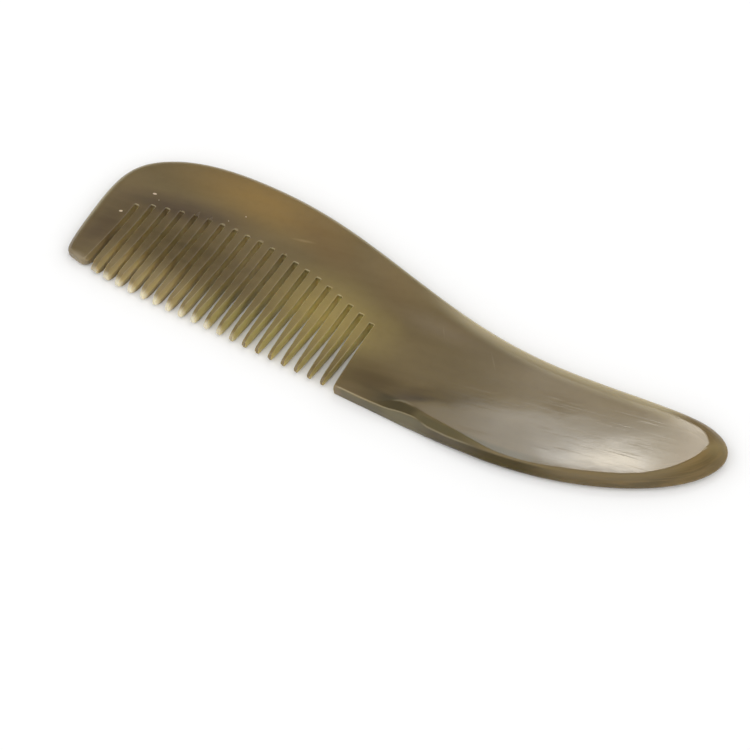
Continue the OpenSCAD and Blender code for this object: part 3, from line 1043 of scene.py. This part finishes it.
def window_pattern(nodes):
    """Brightness and colour over the window, by the distances a along its edge and o out."""
    across = nodes.parts(nodes.add("ShaderNodeNewGeometry").outputs["Parametric"])
    a = nodes.math("MULTIPLY_ADD", across[0], WINDOW_ALONG[1] - WINDOW_ALONG[0], WINDOW_ALONG[0])
    o = nodes.math("MULTIPLY_ADD", across[1], WINDOW_OUT[1] - WINDOW_OUT[0], WINDOW_OUT[0])

    # Beyond the edge it is brighter to the right, but for a trough by the edge, and it ends
    # along a slanting line, but for the part that the handle's tip mirrors.
    beyond = nodes.ramp(a, -75.0, 190.0, 0.0, 7.0)
    trough = nodes.product(nodes.bell(o, -3.0, 22.0), nodes.ramp(a, -25.0, 25.0, 0.0, -0.5))
    beyond = nodes.math("MULTIPLY_ADD", beyond, trough, beyond)
    far = nodes.math("MULTIPLY_ADD", a, 0.45, o)
    near_tip = nodes.product(nodes.ramp(a, 45.0, 85.0), nodes.ramp(o, 14.0, 4.0, 0.45, 1.0))
    beyond = nodes.product(beyond, nodes.largest(nodes.ramp(far, 70.0, 25.0), near_tip))

    # The edge is sharp at the left and soft at the right. Its near side is dimmer far in.
    shifted = nodes.total(o, nodes.ramp(a, -70.0, -38.0, 3.6, 0.0))
    soft = nodes.math("DIVIDE", shifted, nodes.ramp(a, -90.0, 60.0, 1.4, 12.0))
    within = nodes.ramp(soft, 1.0, -1.0)
    inside = nodes.total(
        nodes.ramp(a, -118.0, -42.0, 0.2, 1.6), nodes.ramp(a, -60.0, -15.0, 0.0, 0.9),
        nodes.ramp(a, 25.0, 60.0, 0.0, -2.0), nodes.ramp(a, 70.0, 100.0, 0.0, 0.4))
    dimmed = nodes.product(nodes.ramp(o, -38.0, -46.0, 0.0, -2.8), nodes.ramp(a, -15.0, 15.0),
                           nodes.ramp(a, 36.0, 52.0, 1.0, 0.3))
    level = nodes.total(beyond, nodes.product(within, inside), dimmed)

    # A bright core, the light at the handle's tip, soft spots and slight clouds.
    core = nodes.product(nodes.bell(o, -36.0, 9.0), nodes.ramp(a, -10.0, 55.0),
                         nodes.ramp(a, 100.0, 70.0))
    level = nodes.math("MULTIPLY_ADD", core, CORE_LEVEL, level)
    tip = nodes.ramp(a, 86.0, 112.0, 0.0, TIP_LEVEL)
    level = nodes.math("MULTIPLY_ADD", nodes.bell(o, -3.0, 7.0), tip, level)
    for along, out, reach_along, reach_out, more in WINDOW_SPOTS:
        spot = nodes.product(nodes.bell(a, along, reach_along), nodes.bell(o, out, reach_out))
        level = nodes.math("MULTIPLY_ADD", spot, more, level)
    place = nodes.joined(nodes.product(a, 1 / 45), nodes.product(o, 1 / 18))
    clouds = nodes.ramp(nodes.clouds(place, 1.0, 2.0), 0.25, 0.75, 0.85, 1.15)
    level = nodes.product(level, clouds)

    # It is warm at the right and in the core, and cool at the left.
    warm = nodes.math("MULTIPLY_ADD", within, nodes.ramp(a, 60.0, 100.0, -0.75, -0.3), 1.0)
    warm = nodes.largest(warm, nodes.product(core, 0.8))
    return level, nodes.mix(nodes.product(warm, nodes.ramp(a, -50.0, 60.0)), COOL, WARM)


def window_light():
    """Strip that faces straight down. Its reflection lies on the handle."""
    turn = math.radians(WINDOW_TURN)
    along = Vector((math.cos(turn), math.sin(turn), 0))
    out = Vector((-math.sin(turn), math.cos(turn), 0))
    middle = Vector(WINDOW_EDGE) + along * sum(WINDOW_ALONG) / 2 + out * sum(WINDOW_OUT) / 2
    data = bpy.data.lights.new("window", "AREA")
    data.shape = "RECTANGLE"
    data.size = (WINDOW_ALONG[1] - WINDOW_ALONG[0]) * MM
    data.size_y = (WINDOW_OUT[1] - WINDOW_OUT[0]) * MM
    data.energy = math.pi * data.size * data.size_y
    lamp = bpy.data.objects.new("window", data)
    bpy.context.collection.objects.link(lamp)
    lamp.location = middle * MM
    lamp.rotation_euler = (0, 0, turn)
    data.use_nodes = True
    nodes = Nodes(data.node_tree)
    emission = data.node_tree.nodes["Emission"].inputs
    level, colour = window_pattern(nodes)
    nodes.feed(level, emission["Strength"])
    nodes.feed(colour, emission["Color"])


# The tent round it all, which is dim where the flat face mirrors it: the heading of the dim
# part, the cosines from it where it starts and is full, and the brightness outside and in it.
DIM_HEADING = (-0.31, 0.52, 0.795)
DIM_START, DIM_FULL = 0.62, 0.92
BRIGHT, DIM = 1.42, 0.42


def make_world():
    world = bpy.data.worlds.new("world")
    bpy.context.scene.world = world
    world.use_nodes = True
    nodes = Nodes(world.node_tree)
    sky = world.node_tree.nodes["Background"].inputs
    heading = nodes.add("ShaderNodeTexCoord").outputs["Generated"]
    mirrored = nodes.add("ShaderNodeVectorMath", {0: heading, 1: DIM_HEADING},
                         operation="DOT_PRODUCT").outputs["Value"]
    nodes.feed(nodes.ramp(mirrored, DIM_START, DIM_FULL, BRIGHT, DIM), sky["Strength"])
    nodes.feed((1, 1, 1, 1), sky["Color"])


make_camera()
make_floor()
window_light()
make_world()
bpy.context.scene.view_settings.view_transform = "Standard"

comb = make_comb()
comb.data.materials.append(horn_material())
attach(comb, "root")
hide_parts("comb")
